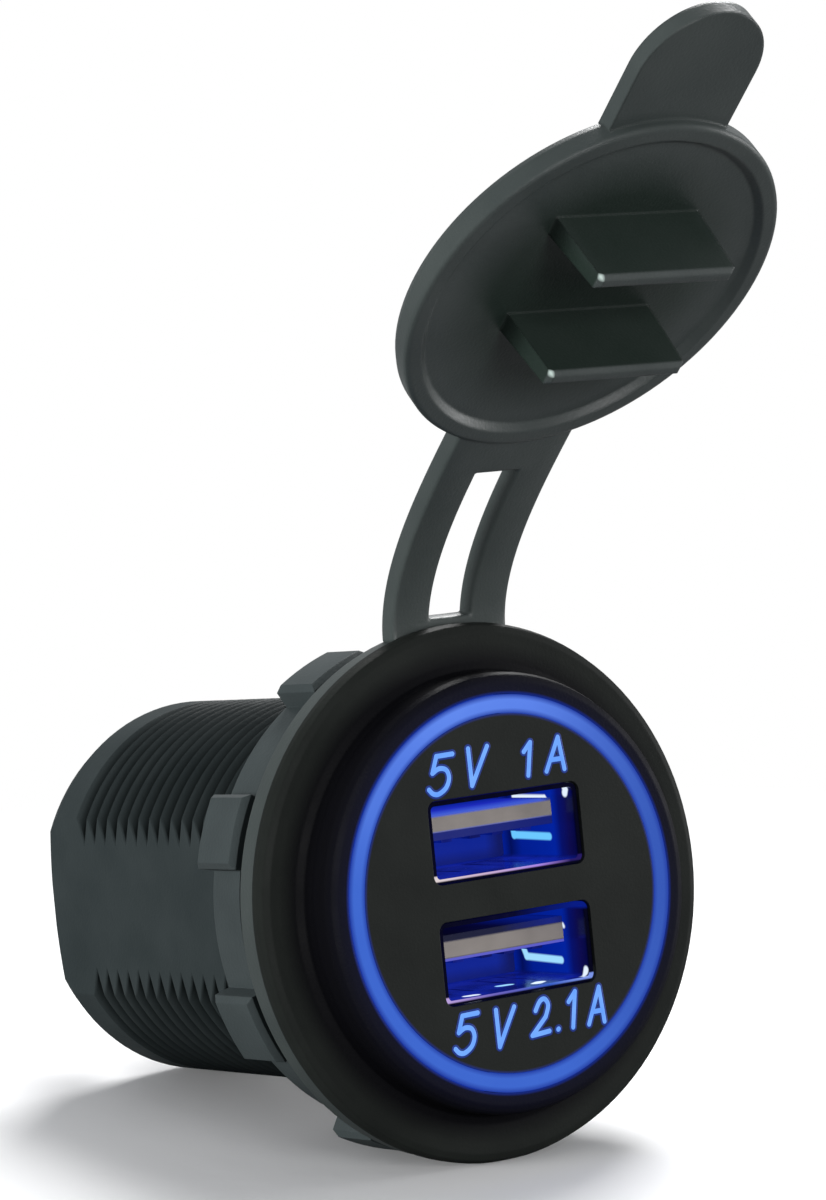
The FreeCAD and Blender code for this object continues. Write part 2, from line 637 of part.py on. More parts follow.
def make_dust_cap():
    """The rubber disc with its lip, grip tab and two plugs, standing open."""
    lip = FACE_Y - CAP_GAP
    floor = lip - CAP_LIP_HEIGHT
    back = floor - CAP_WALL
    inner = CAP_RADIUS - CAP_LIP_WIDTH
    disc = revolved([(0, floor), (inner - CAP_LIP_HEIGHT, floor), (inner, lip),
                     (CAP_RADIUS, lip, CAP_LIP_ROUND), (CAP_RADIUS, back, CAP_EDGE_ROUND), (0, back)])
    half = TAB_GRIP_WIDTH / 2
    tip = half - CAP_RADIUS - TAB_GRIP_REACH
    y = (back, back + TAB_GRIP_THICKNESS)
    grip = block((-half, half), y, (tip, -inner))
    grip = grip.fuse(Part.makeCylinder(half, TAB_GRIP_THICKNESS, Vector(0, back, tip), ALONG))
    plugs = [make_plug(height) for height in PORT_HEIGHTS.values()]
    return opened(fuse_all([disc, grip] + plugs))


def make_collar():
    """The rubber ring that seals the flange to the panel and carries the strap."""
    bore = THREAD_RADIUS + COLLAR_CLEARANCE
    return revolved([(bore, FLANGE_BACK), (COLLAR_RADIUS, FLANGE_BACK), (COLLAR_RADIUS, -COLLAR_EDGE_CHAMFER),
                     (COLLAR_RADIUS - COLLAR_EDGE_CHAMFER, 0.0), (bore, 0.0)])


def strap_side(offset):
    """One face of the strap as a curve from the collar to the open cap's edge."""
    lip = FACE_Y - CAP_GAP
    mid_rim = lip - (CAP_LIP_HEIGHT + CAP_WALL) / 2
    inside_cap = CAP_RADIUS - CAP_LIP_WIDTH
    end = opened(Part.Vertex(0, mid_rim - offset, inside_cap)).Point
    pull = opened(Part.Vertex(0, mid_rim - offset, inside_cap + STRAP_CAP_PULL)).Point
    root_y = -COLLAR_THICKNESS / 2 + offset
    root_z = COLLAR_RADIUS - STRAP_THICKNESS / 2
    curve = Part.BezierCurve()
    curve.setPoles([Vector(0, root_y, root_z), Vector(0, root_y, COLLAR_RADIUS + STRAP_ROOT_PULL), pull, end])
    return curve.toShape()


def make_cap_strap(collar, cap):
    """The slotted rubber strap, from the collar's rim to the cap's edge."""
    near = strap_side(STRAP_THICKNESS / 2)
    far = strap_side(-STRAP_THICKNESS / 2)
    ends = [Part.LineSegment(near.Vertexes[i].Point, far.Vertexes[i].Point).toShape() for i in (0, 1)]
    face = Part.Face(Part.Wire(Part.__sortEdges__([near, far] + ends)))
    face.translate(Vector(-STRAP_WIDTH / 2, 0, 0))
    strap = face.extrude(Vector(STRAP_WIDTH, 0, 0))
    slot_start = COLLAR_RADIUS + STRAP_SLOT_START
    slot_end = opened(Part.Vertex(0, FACE_Y, CAP_RADIUS)).Point.z - STRAP_SLOT_END
    reach = 2 * COLLAR_RADIUS
    slot_x = (-STRAP_SLOT_WIDTH / 2, STRAP_SLOT_WIDTH / 2)
    strap = strap.cut(block(slot_x, (-reach, reach), (slot_start, slot_end)))
    strap = strap.cut(tube(COLLAR_RADIUS, -reach, reach))
    return strap.cut(cap)


def build():
    """Every node by its name."""
    collar = make_collar()
    cap = make_dust_cap()
    nodes = {
        "housing": make_housing(),
        "ring_nut": make_ring_nut(),
        "rubber_collar": collar,
        "cap_strap": make_cap_strap(collar, cap),
        "dust_cap": cap,
        "face_plate": make_face_plate(),
        "light_ring": make_light_ring(),
        "led_board": make_led_board(),
        "ring_lights": make_ring_lights(),
        "led_link_pins": make_led_pins(),
        "port_board": make_port_board(),
        "board_link_pins": make_link_pins(),
        "power_board": make_power_board(),
        "inductor_core": make_inductor_core(),
        "inductor_winding": make_inductor_winding(),
        "input_capacitor": make_input_capacitor(),
        "output_capacitors": make_output_capacitors(),
        "converter_chip": make_converter_chip(),
        "input_diode": make_input_diode(),
        "port_chips": chips_below(PORT_CHIP_SHARES, PORT_CHIP_SIZE),
        "chip_resistors": chips_below(RESISTOR_SHARES, RESISTOR_SIZE),
        "rear_cover": make_rear_cover(),
        "positive_terminal": make_terminal(1),
        "negative_terminal": make_terminal(-1),
    }
    for name, height in PORT_HEIGHTS.items():
        nodes["usb_shell_" + name] = make_usb_shell(height)
        nodes["usb_insulator_" + name] = make_usb_insulator(height)
        nodes["usb_contacts_" + name] = make_usb_contacts(height)
    return nodes


os.makedirs("parts", exist_ok=True)
for node_name, solid in build().items():
    solid.exportStep("parts/" + node_name + ".step")
    print(node_name, "solids", len(solid.Solids), "valid", solid.isValid(), "volume", round(solid.Volume, 1))
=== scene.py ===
import bpy
import bmesh
import json
import math
from mathutils import Matrix, Vector


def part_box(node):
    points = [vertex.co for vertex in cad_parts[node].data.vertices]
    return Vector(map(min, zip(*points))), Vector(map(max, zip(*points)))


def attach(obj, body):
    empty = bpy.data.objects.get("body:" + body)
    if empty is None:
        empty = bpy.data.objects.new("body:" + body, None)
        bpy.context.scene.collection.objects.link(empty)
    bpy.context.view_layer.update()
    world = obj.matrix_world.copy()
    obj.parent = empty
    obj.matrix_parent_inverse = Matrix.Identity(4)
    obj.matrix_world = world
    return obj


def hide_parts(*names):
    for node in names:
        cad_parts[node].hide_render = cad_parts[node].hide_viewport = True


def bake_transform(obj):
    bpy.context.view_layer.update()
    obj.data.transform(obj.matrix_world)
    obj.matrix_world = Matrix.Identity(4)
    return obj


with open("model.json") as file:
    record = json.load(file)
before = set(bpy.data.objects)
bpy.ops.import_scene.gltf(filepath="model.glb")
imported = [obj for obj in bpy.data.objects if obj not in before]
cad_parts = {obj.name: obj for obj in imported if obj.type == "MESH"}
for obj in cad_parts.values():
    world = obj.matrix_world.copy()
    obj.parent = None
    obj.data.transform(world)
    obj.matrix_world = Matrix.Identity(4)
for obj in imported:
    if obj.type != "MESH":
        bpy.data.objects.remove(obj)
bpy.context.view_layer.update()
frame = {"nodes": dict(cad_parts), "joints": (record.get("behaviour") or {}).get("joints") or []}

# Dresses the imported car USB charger: materials, lit ring and ratings, lit sockets, smooth rubber strap,
# pale floor, soft light and the photograph's camera. MM turns millimetres to metres.

MM = 0.001
NODES = frame["nodes"]
HINGE = next(joint for joint in frame["joints"] if joint["name"] == "dust_cap_hinge")

# Camera, with its near and far limits in metres
CAMERA_PLACE = Vector((-173.9, -242.7, 27.0)) * MM
CAMERA_AZIMUTH = math.radians(-35.35)
CAMERA_ELEVATION = math.radians(1.13)
CAMERA_ROLL = math.radians(-5.6)
CAMERA_NEAR = 0.01
CAMERA_FAR = 10
FOCAL_PIXELS = 4175.0
PHOTO_LONG_SIDE = 1200
SENSOR_LONG_SIDE = 36.0

# Lamps: name, place, what it faces, width and power, in metres and watts
LAMPS = [
    ("Key", (0.36, 0.24, 0.54), (0, 0, 0), 0.30, 6.5),
    ("Side", (-0.64, 0.12, 0.06), (0, 0, 0), 0.24, 7.0),
    ("Front", (-0.10, -0.70, 0.06), (0, 0, 0.02), 0.30, 3.0),
    ("Fill", (0.66, -0.20, 0.08), (0, 0, 0), 0.25, 2.0),
]
LAMPS_WITHOUT_REFLECTION = ["Side"]
WORLD_COLOUR = (0.93, 0.96, 1.0, 1)
WORLD_STRENGTH = 0.31

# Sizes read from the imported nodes, in metres
FACE_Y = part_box("face_plate")[0].y
PLATE_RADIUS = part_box("face_plate")[1].x
RING_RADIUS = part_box("light_ring")[1].x
COLLAR_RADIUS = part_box("rubber_collar")[1].x
FLANGE_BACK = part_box("rubber_collar")[0].y
COLLAR_MIDDLE = (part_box("rubber_collar")[0].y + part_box("rubber_collar")[1].y) / 2
FLANGE_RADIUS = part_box("housing")[1].x
BOSS_RIM = 1.6 * MM
BOSS_RADIUS = RING_RADIUS + BOSS_RIM
BARREL_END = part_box("housing")[1].y
BARREL_POINTS = [point.co for point in NODES["housing"].data.vertices if point.co.y > BARREL_END / 2]
THREAD_RADIUS = max(math.hypot(point.x, point.z) for point in BARREL_POINTS)
FLAT_X = max(point.x for point in BARREL_POINTS)
SHELL_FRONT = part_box("usb_shell_upper")[0].y
TONGUE_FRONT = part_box("usb_insulator_upper")[0].y
SOCKET_BLOCK_DEPTH = 5.0 * MM
TONGUE_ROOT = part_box("usb_insulator_upper")[1].y - SOCKET_BLOCK_DEPTH

# The open cap's corners, turned back to where they are when it is shut
CAP_OPEN = math.radians(HINGE["range_deg"][1])
HINGE_LINE = Vector(HINGE["pos_m"])
TURN_SHUT = Matrix.Rotation(CAP_OPEN, 3, "X")
CAP_CORNERS = [corner.co for corner in NODES["dust_cap"].data.vertices]
CAP_SHUT = [HINGE_LINE + TURN_SHUT @ (corner - HINGE_LINE) for corner in CAP_CORNERS]
PLUG_TIP_Y = max(corner.y for corner in CAP_SHUT)
PLUG_TIP_DEPTH = 0.4 * MM
PLUG_TIPS = [corner for corner in CAP_SHUT if corner.y > PLUG_TIP_Y - PLUG_TIP_DEPTH]
# How far over or under a socket's middle a corner still belongs to its plug
PLUG_REACH = 3.5 * MM

# Strap, as in the solid that this scene replaces
STRAP_WIDTH = 10.0 * MM
STRAP_THICKNESS = 1.5 * MM
STRAP_SLOT_WIDTH = 3.6 * MM
STRAP_EDGE_ROUND = 0.28 * MM
STRAP_EDGE_STEPS = 3
STRAP_EDGE_ANGLE = math.radians(50)
STRAP_SLOT_FROM = 0.10
STRAP_SLOT_TO = 0.80
STRAP_SLOT_COLUMNS = (2, 3)
STRAP_ROOT_PULL = 4.0 * MM
STRAP_CAP_PULL = 7.0 * MM
STRAP_ROWS = 56
CAP_EDGE_RADIUS = 13.1 * MM
CAP_MIDDLE_Y = FACE_Y - 1.3 * MM

# Floor: its edge, where it touches the flange's rim and the barrel's end, and where it fades to white
FLOOR_RADIUS = 0.6
FLOOR_SIDES = 64
FLANGE_TOUCH_Y = -2.0 * MM
FLANGE_SINK = 0.15 * MM
BARREL_WALL = 2.2 * MM
FADE_FROM = 55 * MM
FADE_TO = 150 * MM

# Ratings beside the sockets
STROKE_RADIUS = 0.195 * MM
HALO_RADIUS = 0.32 * MM
LETTER_RELIEF = 0.03 * MM
HALO_RELIEF = 0.015 * MM
LETTER_LEAN = 0.12
CURVE_STEPS = 5
TUBE_STEPS = 5
BALL_SEGMENTS = 16
BALL_RINGS = 10

# Colours, linear; those of three numbers are shades that drift in a surface
BLACK = (0, 0, 0, 1)
WHITE = (1, 1, 1, 1)
GLOW_BLUE = (0.040, 0.125, 0.58, 1)
GLOW_TOP = (0.115, 0.240, 0.82, 1)
GLOW_RIGHT = (0.026, 0.080, 0.42, 1)
GLOW_EDGE = (0.006, 0.030, 0.32, 1)
GLOW_DRIFT = (0.82, 0.86, 0.94, 1)
RING_BASE = (0.01, 0.02, 0.06, 1)
LETTER_BLUE = (0.17, 0.40, 0.97, 1)
LETTER_DEEP = (0.12, 0.33, 0.93, 1)
LETTER_BASE = (0.01, 0.02, 0.05, 1)
HALO_BLUE = (0.003, 0.016, 0.19, 1)
HALO_DEEP = (0.002, 0.014, 0.17, 1)
HALO_FAINT = (0.0005, 0.0008, 0.010, 1)
DEEP_BLUE = (0.0008, 0.012, 0.26, 1)
FACE_DARK = (0.0105, 0.012, 0.011)
FACE_LIGHT = (0.0145, 0.0165, 0.015)
# Painted shade that leaves the boss nearly black
BOSS_PAINTED_SHADE = (0.003, 0.003, 0.004, 1)
BARREL_DARK = (0.020, 0.026, 0.027)
BARREL_LIGHT = (0.028, 0.035, 0.036)
# Painted shade in the thread's grooves
GROOVE_PAINTED_SHADE = (0.004, 0.0055, 0.0055, 1)
RUBBER_DARK = (0.033, 0.041, 0.040)
RUBBER_LIGHT = (0.043, 0.052, 0.050)
# Painted shade on the middle of the cap's inside and on the plugs' sides
CAP_PAINTED_SHADE = (0.013, 0.021, 0.017, 1)
# A painted highlight at one corner of each plug's tip
PLUG_PAINTED_HIGHLIGHT = (0.55, 0.66, 0.62, 1)
LED_BLUE = (0.2, 0.45, 1.0, 1)
FLOOR_DARK = (0.86, 0.86, 0.87)
FLOOR_LIGHT = (0.88, 0.88, 0.885)
FLOOR_BOUNCE = (0.15, 0.15, 0.155, 1)
GLINT_CYAN = (0.15, 0.58, 1.0, 1)
GLINT_PALE = (0.35, 0.72, 1.0, 1)
GLINT_WHITE = (0.80, 0.90, 1.0, 1)

# Ranges over which one look gives way to another: distances from the axis, places along an axis of the
# part's frame, or distances from a point
GROOVE_SHADE_RANGE = (THREAD_RADIUS - 0.7 * MM, THREAD_RADIUS - 0.15 * MM)
FLAT_RANGE = (FLAT_X - 0.15 * MM, FLAT_X - 0.05 * MM)
FLANGE_RANGE = (FLANGE_BACK - 0.1 * MM, FLANGE_BACK + 0.1 * MM)
BOSS_SHADE_RANGE = (BOSS_RADIUS + 0.8 * MM, BOSS_RADIUS + 2.2 * MM)
CAP_SHADE_RANGE = (8.0 * MM, 11.8 * MM)
CAP_SHADE_DEPTH_RANGE = (FACE_Y - 1.4 * MM, FACE_Y - 1.0 * MM)
PLUG_TIP_RANGE = (PLUG_TIP_Y - 0.45 * MM, PLUG_TIP_Y - 0.25 * MM)
HIGHLIGHT_SPOT_RANGE = (0.25 * MM, 0.50 * MM)
RING_TOP_RANGE = (2 * MM, RING_RADIUS)
RING_RIGHT_RANGE = (3 * MM, RING_RADIUS)
SHELL_EDGE_RANGE = (SHELL_FRONT + 0.03 * MM, SHELL_FRONT + 0.25 * MM)
SHELL_RANGE = (SHELL_FRONT, TONGUE_ROOT)
TONGUE_END_RANGE = (TONGUE_FRONT + 0.03 * MM, TONGUE_FRONT + 0.09 * MM)
TONGUE_RANGE = (TONGUE_FRONT, TONGUE_ROOT)
# The share of the ring's width over which each of its edges darkens
RING_EDGE_SHARE = 0.28

# The ring's glow on the plastic beside it: its colours over distances from the axis, and where it fades out
# behind the face
HALO_RANGE = (11.7 * MM, 15.7 * MM)
HALO_STOPS = [(0.0, BLACK), (0.19, BLACK), (0.245, HALO_BLUE), (0.59, HALO_BLUE), (0.64, HALO_FAINT),
              (1.0, BLACK)]
HALO_DEPTH_RANGE = (FACE_Y + 0.02 * MM, FACE_Y + 1.2 * MM)

# Where noise has most of its values, for an even drift and for one with more contrast
DRIFT = (0.3, 0.7)
STRONG_DRIFT = (0.35, 0.65)

# Mouldings with nothing more to them: name, two shades, roughness, depth of the grain and gloss
MOULDINGS = {
    "nut": ("NutPlastic", (0.031, 0.039, 0.040), (0.040, 0.050, 0.051), 0.42, 0.02 * MM, 0.22),
    "cover": ("CoverPlastic", (0.008, 0.010, 0.010), (0.012, 0.014, 0.015), 0.5, 0.02 * MM, 0.2),
    "ferrite": ("Ferrite", (0.030, 0.030, 0.032), (0.045, 0.044, 0.044), 0.6, 0.04 * MM, 0.4),
    "resin": ("ChipResin", (0.012, 0.012, 0.013), (0.02, 0.02, 0.021), 0.55, 0.02 * MM, 0.4),
}
# Bright metals: name, two shades and roughness
METALS = {
    "gilt": ("GiltContact", (0.80, 0.56, 0.22), (0.86, 0.64, 0.30), 0.24),
    "tinned": ("TinnedBrass", (0.66, 0.63, 0.55), (0.76, 0.74, 0.68), 0.28),
    "can": ("DrawnCan", (0.50, 0.51, 0.53), (0.60, 0.61, 0.63), 0.32),
}

# Light in the sockets. A glint is a soft stroke with round ends on the right wall or on the floor of a
# shell: its wall, its two ends and its radius, in millimetres, and its colour.
PORT_HEIGHTS = {"lower": -4.25, "upper": 4.25}
SOFT_EDGE = 0.12 * MM
LIP_SOFT_EDGE = 0.05 * MM
GLINT_SOFTNESS = 0.07
# For each wall, the axes that a stroke is measured along, and where the wall is, in millimetres
GLINT_WALLS = {"side": ((0, 1, 1), {"X": (5.8, 7.0)}), "floor": ((1, 1, 0), {"Z": (-7.5, -6.5)})}
GLINTS = {
    "upper": [
        ("side", (0, 1.60, 3.78), (0, 1.50, 3.28), 0.28, GLINT_CYAN),
        ("side", (0, 1.50, 3.30), (0, -2.75, 3.20), 0.27, GLINT_CYAN),
        ("side", (0, 1.20, 6.12), (0, -2.60, 6.08), 0.13, GLINT_WHITE),
        ("side", (0, -2.60, 6.06), (0, -2.90, 5.80), 0.12, GLINT_WHITE),
        ("side", (0, -5.20, 6.72), (0, -5.05, 6.35), 0.30, GLINT_WHITE),
    ],
    "lower": [
        ("side", (0, 1.70, -4.95), (0, 1.40, -5.55), 0.28, GLINT_PALE),
        ("side", (0, 1.40, -5.60), (0, -2.75, -5.75), 0.26, GLINT_PALE),
        ("side", (0, -3.30, -3.15), (0, -3.40, -3.30), 0.13, GLINT_WHITE),
        ("side", (0, -5.55, -6.35), (0, -5.45, -6.60), 0.26, GLINT_WHITE),
        ("floor", (-3.85, -4.9, 0), (-3.30, -5.0, 0), 0.40, GLINT_WHITE),
        ("floor", (0.60, -2.8, 0), (1.20, -2.9, 0), 0.42, GLINT_PALE),
        ("floor", (2.40, -4.7, 0), (3.00, -4.3, 0), 0.42, GLINT_WHITE),
    ],
}
# Painted highlight along each socket's lower lip, from left to right
LIP_PAINTED_HIGHLIGHTS = {
    "upper": [(0.0, (0.75, 0.66, 0.66, 1)), (0.35, (0.62, 0.46, 0.62, 1)), (0.75, (0.42, 0.25, 0.80, 1)),
              (1.0, (0.02, 0.01, 0.12, 1))],
    "lower": [(0.0, (0.50, 0.36, 0.72, 1)), (0.35, (0.16, 0.13, 0.50, 1)), (0.75, (0.03, 0.10, 0.55, 1)),
              (1.0, (0.20, 0.30, 0.80, 1))],
}
# The light along the top of the lower socket, from left to right
CEILINGS = {
    "lower": [(0.0, (0.0006, 0.0006, 0.004, 1)), (0.55, (0.001, 0.001, 0.02, 1)),
              (1.0, (0.001, 0.010, 0.22, 1))],
}
# The left and right of a socket, for the colours along its lip and its ceiling
SOCKET_ACROSS = (-6.5 * MM, 5.5 * MM)
# The light on a shell's walls from its front edge to the tongue's root
SHELL_DEPTHS = [(0.0, (0.0015, 0.0015, 0.018, 1)), (0.10, (0.004, 0.003, 0.045, 1)),
                (0.21, (0.002, 0.005, 0.11, 1)), (0.30, (0.0008, 0.016, 0.31, 1)),
                (0.75, (0.0006, 0.012, 0.25, 1)), (0.90, (0.0005, 0.004, 0.08, 1)), (1.0, DEEP_BLUE)]
# The steel's shades, darkened and tinted blue: a painted reflection of the blue light inside
SHELL_DARK = (0.010, 0.024, 0.10)
SHELL_LIGHT = (0.016, 0.034, 0.13)
SHELL_EDGE = (0.006, 0.006, 0.02, 1)
SHELL_EDGE_LIGHT = (0.0006, 0.0006, 0.006, 1)
# Painted blue light on the shell's floor
SHELL_FLOOR_DEEP = (0.002, 0.003, 0.06, 1)
SHELL_FLOOR_BLUE = (0.004, 0.010, 0.20, 1)
# Heights of a shell's floor, lower lip and ceiling over the socket's middle, in millimetres
SHELL_FLOOR_HEIGHTS = (-4.0, -2.45)
LIP_HEIGHTS = (-2.70, -2.3)
CEILING_HEIGHTS = (2.35, 4.0)
# Where the lower lip is along the barrel, in millimetres
LIP_DEPTHS = (SHELL_FRONT / MM - 1, SHELL_FRONT / MM + 0.12)
# The part of the tongue's end that shows its own colour, in millimetres over the socket's middle,
# with the light over it and under it
TONGUE_PLAIN = {"lower": (0.22, 1.36), "upper": (0.60, 1.66)}
TONGUE_LIGHTS = {"lower": (0.003, 0.003, 0.03, 1), "upper": (0.045, 0.095, 0.60, 1)}
TONGUE_FOOT = {"lower": (0.10, 0.10, 0.55, 1), "upper": (0.0008, 0.006, 0.15, 1)}
TONGUE_DARK = (0.22, 0.20, 0.185)
TONGUE_LIGHT = (0.29, 0.26, 0.24)
TONGUE_UNLIT = (0.003, 0.005, 0.022, 1)
# Painted light that brightens the tongue's end
TONGUE_END_PAINTED_LIGHT = (0.012, 0.0105, 0.010, 1)
TONGUE_MIDDLE = (0.012, 0.022, 0.45, 1)
# Light on the foot and on the right side of the wall that the tongue stands on
WALL_FOOT_HEIGHTS = (-2.8, -2.1)
WALL_FOOT_LIGHT = (0.001, 0.005, 0.12, 1)
WALL_SIDE = (5.2, 7.0)
WALL_SIDE_LIGHT = (0.0008, 0.004, 0.10, 1)
WALL_FOOT_SOFTNESS = 0.5 * MM
WALL_SIDE_SOFTNESS = 0.6 * MM
TONGUE_SOFTNESS = 0.07 * MM
TONGUE_TOP_FADE = 0.1 * MM
TONGUE_FOOT_FADE = 0.06 * MM
CONTACT_DARK = (0.012, 0.012, 0.03)
CONTACT_LIGHT = (0.02, 0.018, 0.04)
CONTACT_DEEP = (0.001, 0.004, 0.10, 1)
CONTACT_BLUE = (0.002, 0.010, 0.22, 1)

# Winding and boards
WINDING_DARK = (0.50, 0.17, 0.07)
WINDING_LIGHT = (0.62, 0.26, 0.12)
TURN_PITCH = 0.5 * MM
TURN_RELIEF = 0.08 * MM
# The period of a wave texture at scale 1
WAVE_PERIOD = 0.314
TRACK_PITCH = 1.6 * MM
TRACK_SHARE = 0.04
MASK_DARK = (0.012, 0.10, 0.045, 1)
MASK_LIGHT = (0.014, 0.115, 0.05, 1)
TRACK_GREEN = (0.03, 0.20, 0.09, 1)


def new_material(name, roughness=0.5, metallic=0.0, specular=0.5):
    """A material with its shader, its steady numbers set on the shader's own sockets."""
    made = bpy.data.materials.new(name)
    made.use_nodes = True
    shader = made.node_tree.nodes["Principled BSDF"]
    shader.inputs["Roughness"].default_value = roughness
    shader.inputs["Metallic"].default_value = metallic
    shader.inputs["Specular IOR Level"].default_value = specular
    return made, shader


def add_node(made, kind, **settings):
    """A node of that kind with its settings, in a material or in the world."""
    node = made.node_tree.nodes.new(kind)
    for name, value in settings.items():
        setattr(node, name, value)
    return node


def connect(made, value, target):
    """Link an input to another node's output, or set it to one steady value."""
    if isinstance(value, bpy.types.NodeSocket):
        made.node_tree.links.new(value, target)
    else:
        target.default_value = value


def number_math(made, operation, *values):
    """The result of a calculation with numbers."""
    node = add_node(made, "ShaderNodeMath", operation=operation)
    for value, target in zip(values, node.inputs):
        connect(made, value, target)
    return node.outputs["Value"]


def vector_math(made, operation, *values):
    """A node that calculates with places."""
    node = add_node(made, "ShaderNodeVectorMath", operation=operation)
    for value, target in zip(values, node.inputs):
        connect(made, value, target)
    return node


def product(made, first, second):
    """Two values multiplied."""
    return number_math(made, "MULTIPLY", first, second)


def ramp(made, factor, stops):
    """A colour ramp through (position, colour) stops."""
    node = add_node(made, "ShaderNodeValToRGB")
    elements = node.color_ramp.elements
    elements[0].position, elements[0].color = stops[0]
    elements[1].position, elements[1].color = stops[-1]
    for position, colour in stops[1:-1]:
        elements.new(position).color = colour
    connect(made, factor, node.inputs["Fac"])
    return node.outputs["Color"]


def spread(made, value, low, high, low_out=0.0, high_out=1.0):
    """Map a value from one range to another, clamped."""
    node = add_node(made, "ShaderNodeMapRange")
    for name, number in (("From Min", low), ("From Max", high), ("To Min", low_out), ("To Max", high_out)):
        node.inputs[name].default_value = number
    connect(made, value, node.inputs["Value"])
    return node.outputs["Result"]


def fall(made, value, low, high):
    """One below a range of a value and nothing above it."""
    return spread(made, value, low, high, 1.0, 0.0)


def over(made, below, mask, colour, blend_type="MIX"):
    """Lay one colour over another where a mask says."""
    mixed = add_node(made, "ShaderNodeMix", data_type="RGBA", blend_type=blend_type)
    for value, name in ((mask, "Factor"), (below, "A"), (colour, "B")):
        connect(made, value, mixed.inputs[name])
    return mixed.outputs["Result"]


def place_on_part(made):
    """The shaded place in the part's frame."""
    return add_node(made, "ShaderNodeTexCoord").outputs["Object"]


def place_along(made, place, axis):
    """How far a place lies along an axis."""
    split = add_node(made, "ShaderNodeSeparateXYZ")
    connect(made, place, split.inputs["Vector"])
    return split.outputs[axis]


def along(made, axis):
    """How far the shaded place lies along an axis of the part's frame."""
    return place_along(made, place_on_part(made), axis)


def distance_from_axis(made, place):
    """How far a place is from the barrel's axis."""
    flat = vector_math(made, "MULTIPLY", place, (1, 0, 1))
    return vector_math(made, "LENGTH", flat.outputs["Vector"]).outputs["Value"]


def noise(made, feature, detail=3.0):
    """Noise whose features are about that many metres across."""
    pattern = add_node(made, "ShaderNodeTexNoise")
    connect(made, place_on_part(made), pattern.inputs["Vector"])
    connect(made, 1.0 / feature, pattern.inputs["Scale"])
    connect(made, detail, pattern.inputs["Detail"])
    return pattern.outputs["Fac"]


def drift(made, dark, light, feature, between=DRIFT):
    """A slow drift between two colours."""
    low, high = between
    return ramp(made, noise(made, feature), [(low, dark), (high, light)])


def base_colour(shader):
    """The output that colours a shader so far."""
    return shader.inputs["Base Color"].links[0].from_socket


def recolour(made, shader, mask, colour):
    """Lay a colour over a shader's base colour where a mask says."""
    connect(made, over(made, base_colour(shader), mask, colour), shader.inputs["Base Color"])


def vary_colour(made, shader, dark, light, feature):
    """Drift the base colour between two close shades."""
    connect(made, drift(made, (*dark, 1), (*light, 1), feature), shader.inputs["Base Color"])


def vary_gloss(made, shader, low, high, feature):
    """Drift the roughness between two values."""
    connect(made, spread(made, noise(made, feature), *DRIFT, low, high), shader.inputs["Roughness"])


def grain(made, shader, feature, depth, edge_round=0.0):
    """A fine surface grain of that depth, with the shading of slightly rounded edges under it."""
    bump = add_node(made, "ShaderNodeBump")
    bump.inputs["Distance"].default_value = depth
    connect(made, noise(made, feature, detail=2.0), bump.inputs["Height"])
    if edge_round > 0:
        soft = add_node(made, "ShaderNodeBevel", samples=4)
        soft.inputs["Radius"].default_value = edge_round
        connect(made, soft.outputs["Normal"], bump.inputs["Normal"])
    connect(made, bump.outputs["Normal"], shader.inputs["Normal"])


def glow(made, shader, colour, strength=1.0):
    """Light given off."""
    shader.inputs["Emission Strength"].default_value = strength
    connect(made, colour, shader.inputs["Emission Color"])


def moulded(name, dark, light, roughness, grain_depth, specular=0.4, edge_round=0.12 * MM):
    """Moulded plastic or rubber: a slow drift of shade and gloss over a fine moulded grain."""
    made, shader = new_material(name, specular=specular)
    vary_colour(made, shader, dark, light, feature=6 * MM)
    vary_gloss(made, shader, roughness - 0.05, roughness + 0.06, feature=4 * MM)
    grain(made, shader, feature=0.22 * MM, depth=grain_depth, edge_round=edge_round)
    return made, shader


def metal(name, dark, light, roughness):
    """Plated or drawn metal with fine rolling marks."""
    made, shader = new_material(name, metallic=1.0)
    vary_colour(made, shader, dark, light, feature=3 * MM)
    vary_gloss(made, shader, roughness - 0.03, roughness + 0.05, feature=2 * MM)
    grain(made, shader, feature=0.3 * MM, depth=0.0008 * MM, edge_round=0.06 * MM)
    return made


def rubber(name):
    """The soft black rubber of the collar, strap and cap."""
    return moulded(name, RUBBER_DARK, RUBBER_LIGHT, roughness=0.40, grain_depth=0.018 * MM,
                   edge_round=0.3 * MM)


def ring_halo(made, shader):
    """The deep blue light that the ring leaves on the plastic beside it."""
    radius = distance_from_axis(made, place_on_part(made))
    colour = ramp(made, spread(made, radius, *HALO_RANGE), HALO_STOPS)
    at_front = fall(made, along(made, "Y"), *HALO_DEPTH_RANGE)
    glow(made, shader, over(made, BLACK, at_front, colour))


def face_material():
    """The face plate's satin plastic, with the ring's glow at its edge."""
    made, shader = moulded("FacePlastic", FACE_DARK, FACE_LIGHT, roughness=0.5, grain_depth=0.012 * MM,
                           specular=0.1, edge_round=0.08 * MM)
    ring_halo(made, shader)
    return made


def barrel_material():
    """One moulding: a dull barrel with painted shade in its grooves, a satin flange, and the boss painted
    nearly black as shade.
    """
    made, shader = moulded("BarrelPlastic", BARREL_DARK, BARREL_LIGHT, roughness=0.55,
                           grain_depth=0.02 * MM, specular=0.06, edge_round=0.25 * MM)
    radius = distance_from_axis(made, place_on_part(made))
    # Painted shade in the thread's grooves, left off the flats
    groove_shade = fall(made, radius, *GROOVE_SHADE_RANGE)
    off_flat = fall(made, number_math(made, "ABSOLUTE", along(made, "X")), *FLAT_RANGE)
    recolour(made, shader, product(made, groove_shade, off_flat), GROOVE_PAINTED_SHADE)
    satin = drift(made, (*FACE_DARK, 1), (*FACE_LIGHT, 1), feature=6 * MM)
    # Painted shade: the boss nearly black, the flange beyond it satin
    boss_shade = fall(made, radius, *BOSS_SHADE_RANGE)
    on_flange = fall(made, along(made, "Y"), *FLANGE_RANGE)
    recolour(made, shader, on_flange, over(made, satin, boss_shade, BOSS_PAINTED_SHADE))
    ring_halo(made, shader)
    return made


